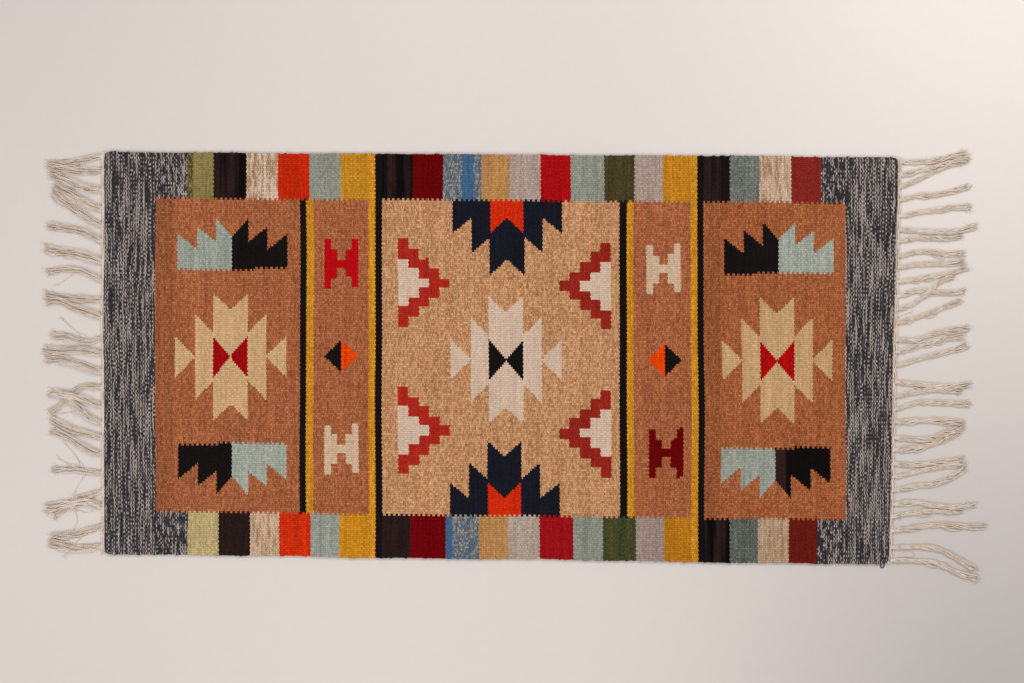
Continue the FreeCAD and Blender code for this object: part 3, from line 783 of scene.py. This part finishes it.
def cotton(name, base):
    """Unbleached cotton: warm white, browner in patches, with fine fibres."""
    shader = Shader(name)
    point, _, _, _ = shader.position()
    patches = shader.noise(point, scale=90.0)
    fibres = shader.noise(point, scale=2600.0, detail=3.0)
    tone = shader.maths("MULTIPLY", shader.spread(patches, 0.88, 1.12), shader.spread(fibres, 0.85, 1.15))
    warm = tuple(value * factor for value, factor in zip(base, (0.95, 0.90, 0.84)))
    colour = shader.scaled(shader.mix(shader.between(patches, 0.35, 0.6), rgb(warm), rgb(base)), tone)
    return shader.finish(colour, shader.spread(fibres, 0.82, 0.97), fibres, 0.2 * MM)


LEFT_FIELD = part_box("left_terracotta_field")[0].x
RIGHT_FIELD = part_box("right_terracotta_field")[0].x
RIGHT_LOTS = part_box("red_edge_blocks")[1].x  # the edge blocks beyond here come from other dye lots
UPPER_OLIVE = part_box("olive_edge_blocks")[0].x
LEFT_STRIP = (LEFT_FIELD, LEFT_FIELD + 27 * MM)
RIGHT_STRIP = (RIGHT_FIELD, RIGHT_FIELD + 25 * MM)
COMB_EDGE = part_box("lower_right_black_comb")[0].x

MATERIALS = {
    "marl_wool": wool("marl_wool", (0.034, 0.032, 0.040), contrast=1.0, ply=(0.374, 0.315, 0.279),
                      grain=None),
    "terracotta_wool": wool("terracotta_wool", (0.31, 0.087, 0.033), ply=(0.445, 0.157, 0.068),
                            dark_strips=[LEFT_STRIP]),
    "tan_wool": wool("tan_wool", (0.43, 0.185, 0.075), contrast=1.0, ply=(0.63, 0.357, 0.188),
                     grain=LOOSE_GRAIN),
    "black_wool": wool("black_wool", (0.0088, 0.0064, 0.0064)),
    "yellow_wool": wool("yellow_wool", (0.52, 0.215, 0.016), ply=(0.67, 0.30, 0.022)),
    "cream_wool": wool("cream_wool", (0.66, 0.49, 0.37), contrast=0.8),
    "beige_wool": wool("beige_wool", (0.625, 0.395, 0.205), contrast=1.0),
    "red_wool": wool("red_wool", (0.43, 0.003, 0.004)),
    "dark_red_wool": wool("dark_red_wool", (
        (0.128, 0.001, 0.002), (0.235, 0.021, 0.016), (0.15, 0.001, 0.003), (0.142, 0.011, 0.0065))),
    "brick_wool": wool("brick_wool", (0.42, 0.022, 0.013)),
    "orange_wool": wool("orange_wool", (
        (0.53, 0.021, 0.003), (0.53, 0.021, 0.003), (0.64, 0.029, 0.004), (0.64, 0.029, 0.004))),
    "teal_wool": wool("teal_wool", (
        (0.320, 0.352, 0.303), (0.35, 0.385, 0.33), (0.372, 0.408, 0.350), (0.319, 0.350, 0.300))),
    "teal_grey_wool": wool("teal_grey_wool", (
        (0.165, 0.182, 0.160), (0.165, 0.182, 0.160), (0.115, 0.127, 0.108), (0.115, 0.127, 0.108)),
        contrast=2.2),
    "sage_wool": wool("sage_wool", (
        (0.278, 0.290, 0.24), (0.275, 0.288, 0.24), (0.317, 0.338, 0.29), (0.264, 0.282, 0.233))),
    "olive_wool": wool("olive_wool", (
        (0.25, 0.197, 0.069), (0.25, 0.197, 0.069), (0.51, 0.403, 0.19), (0.51, 0.403, 0.19)),
        contrast=1.4, flecks=(UPPER_OLIVE, UPPER_OLIVE + 12 * MM)),
    "dark_green_wool": wool("dark_green_wool", (
        (0.065, 0.050, 0.018), (0.065, 0.050, 0.018), (0.050, 0.066, 0.024), (0.050, 0.066, 0.024)),
        contrast=1.6, heather=(0.072, 0.064, 0.022)),
    "blue_wool": wool("blue_wool", (0.052, 0.133, 0.248)),
    "blue_marl_wool": wool("blue_marl_wool", (0.085, 0.135, 0.195), ply=(0.365, 0.295, 0.222),
                           grain=SHORT_STREAKS),
    "gold_wool": wool("gold_wool", (0.47, 0.237, 0.084)),
    "grey_wool": wool("grey_wool", (
        (0.43, 0.33, 0.285), (0.395, 0.305, 0.26), (0.445, 0.345, 0.29), (0.345, 0.262, 0.22))),
    "navy_wool": wool("navy_wool", (0.0095, 0.010, 0.0175)),
    "cotton_cord": cotton("cotton_cord", (0.80, 0.70, 0.61)),
    "cotton_warp": cotton("cotton_warp", (0.82, 0.72, 0.62)),
    "cotton_fringe": cotton("cotton_fringe", (0.75, 0.655, 0.57)),
    "tail_yarn": cotton("tail_yarn", (0.028, 0.028, 0.04)),
}
NODE_SLOTS = {part["node"]: part["material_slot"] for part in frame["record"]["subparts"]}

# ---- The same yarns from other dye lots ----------------------------------------------------------
DARK_BRICK = wool("dark_brick_wool", (0.30, 0.0195, 0.0112))
HEART_ORANGE = wool("heart_orange_wool", (0.635, 0.025, 0.003))
OTHER_LOTS = {
    "black_edge_blocks": wool("black_edge_wool", (
        (0.005, 0.003, 0.003), (0.0112, 0.0066, 0.0066), (0.021, 0.0105, 0.0102), (0.004, 0.0026, 0.0026)),
        heather=(0.024, 0.0125, 0.012)),
    "cream_edge_blocks": wool("cream_edge_wool", (
        (0.67, 0.505, 0.395), (0.62, 0.45, 0.335), (0.63, 0.44, 0.305), (0.50, 0.355, 0.252)),
        ply=(0.39, 0.235, 0.125), grain=LONG_STREAKS, contrast=1.3),
    "yellow_edge_blocks": wool("yellow_edge_wool", (
        (0.56, 0.247, 0.019), (0.52, 0.215, 0.015), (0.60, 0.257, 0.0145), (0.468, 0.187, 0.011))),
    "red_edge_blocks": wool("red_edge_wool", (
        (0.40, 0.004, 0.006), (0.40, 0.004, 0.006), (0.34, 0.006, 0.0085), (0.34, 0.006, 0.0085)),
        contrast=1.3),
    "right_terracotta_field": wool("right_terracotta_wool", (0.30, 0.082, 0.028), ply=(0.435, 0.148, 0.058),
                                   dark_strips=[RIGHT_STRIP]),
    "orange_diamond_halves": wool("diamond_orange_wool", (0.81, 0.058, 0.0015)),
    "crown_hearts": HEART_ORANGE,
    "lower_right_black_comb": wool("banded_black_wool", (0.006, 0.004, 0.004), heather=(0.034, 0.013, 0.013),
                                   heather_strip=(COMB_EDGE, COMB_EDGE + 17 * MM)),
    "right_star": wool("right_star_wool", (0.578, 0.361, 0.182), contrast=1.0),
    "left_bow_tie": wool("left_bow_wool", (0.34, 0.003, 0.004)),
    "upper_left_h": wool("bright_red_wool", (0.485, 0.003, 0.006), contrast=1.0),
    "lower_left_h": wool("warm_cream_wool", (0.64, 0.455, 0.305), contrast=0.8),
    "upper_right_h": wool("dull_cream_wool", (0.62, 0.442, 0.307), contrast=0.8),
    "lower_right_h": wool("deep_red_wool", (0.14, 0.001, 0.0015)),
    "upper_right_chevron": DARK_BRICK,
    "lower_right_chevron": DARK_BRICK,
}


def dress(piece, node):
    """Lets a piece stand for the CAD node of the same name, in that node's yarn."""
    piece.name = node + "_cloth" if node in WOVEN_NODES else node + "_threads"
    piece.data.materials.append(OTHER_LOTS.get(node, MATERIALS[NODE_SLOTS[node]]))
    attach(piece, "root")
    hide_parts(node)
    return piece


# ---- The rug -------------------------------------------------------------------------------------
def weave_cloth():
    """One piece for each woven CAD node."""
    owner = stitch_owners()
    cell_pick, cell_warp = np.meshgrid(np.arange(PICK_COUNT), np.arange(WARP_COUNT), indexing="ij")
    cell_owner = owner[cell_warp, (cell_pick + cell_warp % 2) // 2]
    cell_owner = np.repeat(cell_owner, ROWS, axis=1)
    upper, lower, lattice = cloth_grid()
    return [
        dress(cloth_piece(name, cell_owner == index, upper, lower, lattice), name)
        for index, name in enumerate(WOVEN_NODES)
    ]


# ---- Strands that have come away: a tassel's number from the top, and millimetres from its root ---
LEFT_STRAYS = (
    (6, ((-38, -13), (-52, -22), (-68, -34))),
    (10, ((-24, -3), (-42, 10), (-62, 28))),
    (15, ((-24, 16), (-44, 18), (-62, 16))),
    (18, ((-27, -2), (-42, -26), (-47, -41))),
    (18, ((-32, 4), (-50, 12), (-67, 22))),
    (18, ((-30, 6), (-42, 26), (-58, 45))),
    (20, ((-7, 1), (-24, -8), (-39, -5))),
    (20, ((-44, -2), (-39, -20), (-44, -31))),
    (21, ((-27, -10), (-50, -35), (-59, -47))),
)
RIGHT_STRAYS = (
    (12, ((3, 10), (12, 14), (23, 18))),
    (28, ((20, -6), (32, -5), (36, -12), (26, -14))),
)

cloth = weave_cloth()
warps = dress(warp_threads(), "warps")
trims = [
    dress(end_cord("left_end_cord", LOWER_LEFT, UPPER_LEFT, -1, 0.4 * MM), "left_end_cord"),
    dress(end_cord("right_end_cord", LOWER_RIGHT, UPPER_RIGHT, 1, 1.2 * MM), "right_end_cord"),
    dress(fringe("left_fringe", -1, flat_tassel, LEFT_STRAYS), "left_fringe"),
    dress(fringe("right_fringe", 1, twisted_tassel, RIGHT_STRAYS), "right_fringe"),
    dress(yarn_tail(), "yarn_tail"),
]


# ---- Floor, light and camera ---------------------------------------------------------------------
def plain_floor():
    """A pale matt floor, faintly mottled. Its tone holds painted light and shade: palest at the upper right,
    darkest below that, and darker towards the left, most of all at the left corners.
    """
    half = 4.0
    corners = np.array([(-half, -half, 0), (half, -half, 0), (half, half, 0), (-half, half, 0)])
    floor = quad_mesh("floor", corners, np.array([[0, 1, 2, 3]]))
    shader = Shader("pale_floor")
    point, x, y, _ = shader.position()
    mottle = shader.spread(shader.noise(point, scale=60.0, detail=3.0), 0.985, 1.015)
    to_right = shader.between(x, 0.1, 0.8)
    # painted light and shade: brighter towards the upper right, darker towards the lower right
    drift = shader.times(to_right, shader.between(y, -0.7, 0.7), -0.31, 0.22)
    # painted shade: darker towards the left, most of all at the left corners
    shaded_left_corners = shader.between(shader.maths("ABSOLUTE", y), 0.2, 0.7)
    painted_left_shade = shader.spread(shader.between(x, -0.9, -0.1), shader.spread(shaded_left_corners, 0.92, 0.87), 1.0)
    tone = shader.maths("MULTIPLY", mottle, shader.maths("ADD", painted_left_shade, drift))
    colour = shader.scaled(rgb((0.73, 0.68, 0.65)), tone)
    grain = shader.noise(point, scale=400.0)
    floor.data.materials.append(shader.finish(colour, 0.9, grain, 0.02 * MM, sheen=0.0))


def soft_light(name, place, size, power, colour):
    """A large square lamp that points at the middle of the rug."""
    light = bpy.data.lights.new(name, "AREA")
    light.energy = power
    light.size = size
    light.color = colour
    lamp = bpy.data.objects.new(name, light)
    lamp.location = place
    lamp.rotation_euler = (-lamp.location).to_track_quat("-Z", "Y").to_euler()
    bpy.context.scene.collection.objects.link(lamp)


def light_scene():
    world = bpy.data.worlds.new("studio")
    world.use_nodes = True
    world.node_tree.nodes["Background"].inputs["Color"].default_value = (1.0, 0.97, 0.95, 1.0)
    world.node_tree.nodes["Background"].inputs["Strength"].default_value = 0.5
    bpy.context.scene.world = world
    soft_light("lower_left", (-2.2, -2.0, 2.5), 1.5, 58, (1.0, 0.98, 0.96))
    soft_light("upper_right", (1.3, 2.3, 2.5), 1.5, 56, (1.0, 0.98, 0.95))


CAMERA_HEIGHT = 3.0
VIEW_WIDTH = 1.5555  # what the picture shows across, on the floor
VIEW_CENTRE = (0.0198, 0.0234)
SENSOR_WIDTH = 36.0


def top_camera():
    """Looks straight down, with +Y up the picture."""
    lens = bpy.data.cameras.new("camera")
    lens.sensor_width = SENSOR_WIDTH
    lens.lens = SENSOR_WIDTH * CAMERA_HEIGHT / VIEW_WIDTH
    camera = bpy.data.objects.new("camera", lens)
    camera.location = (*VIEW_CENTRE, CAMERA_HEIGHT)
    bpy.context.scene.collection.objects.link(camera)
    bpy.context.scene.camera = camera


plain_floor()
light_scene()
top_camera()
bpy.context.scene.view_settings.view_transform = "Standard"
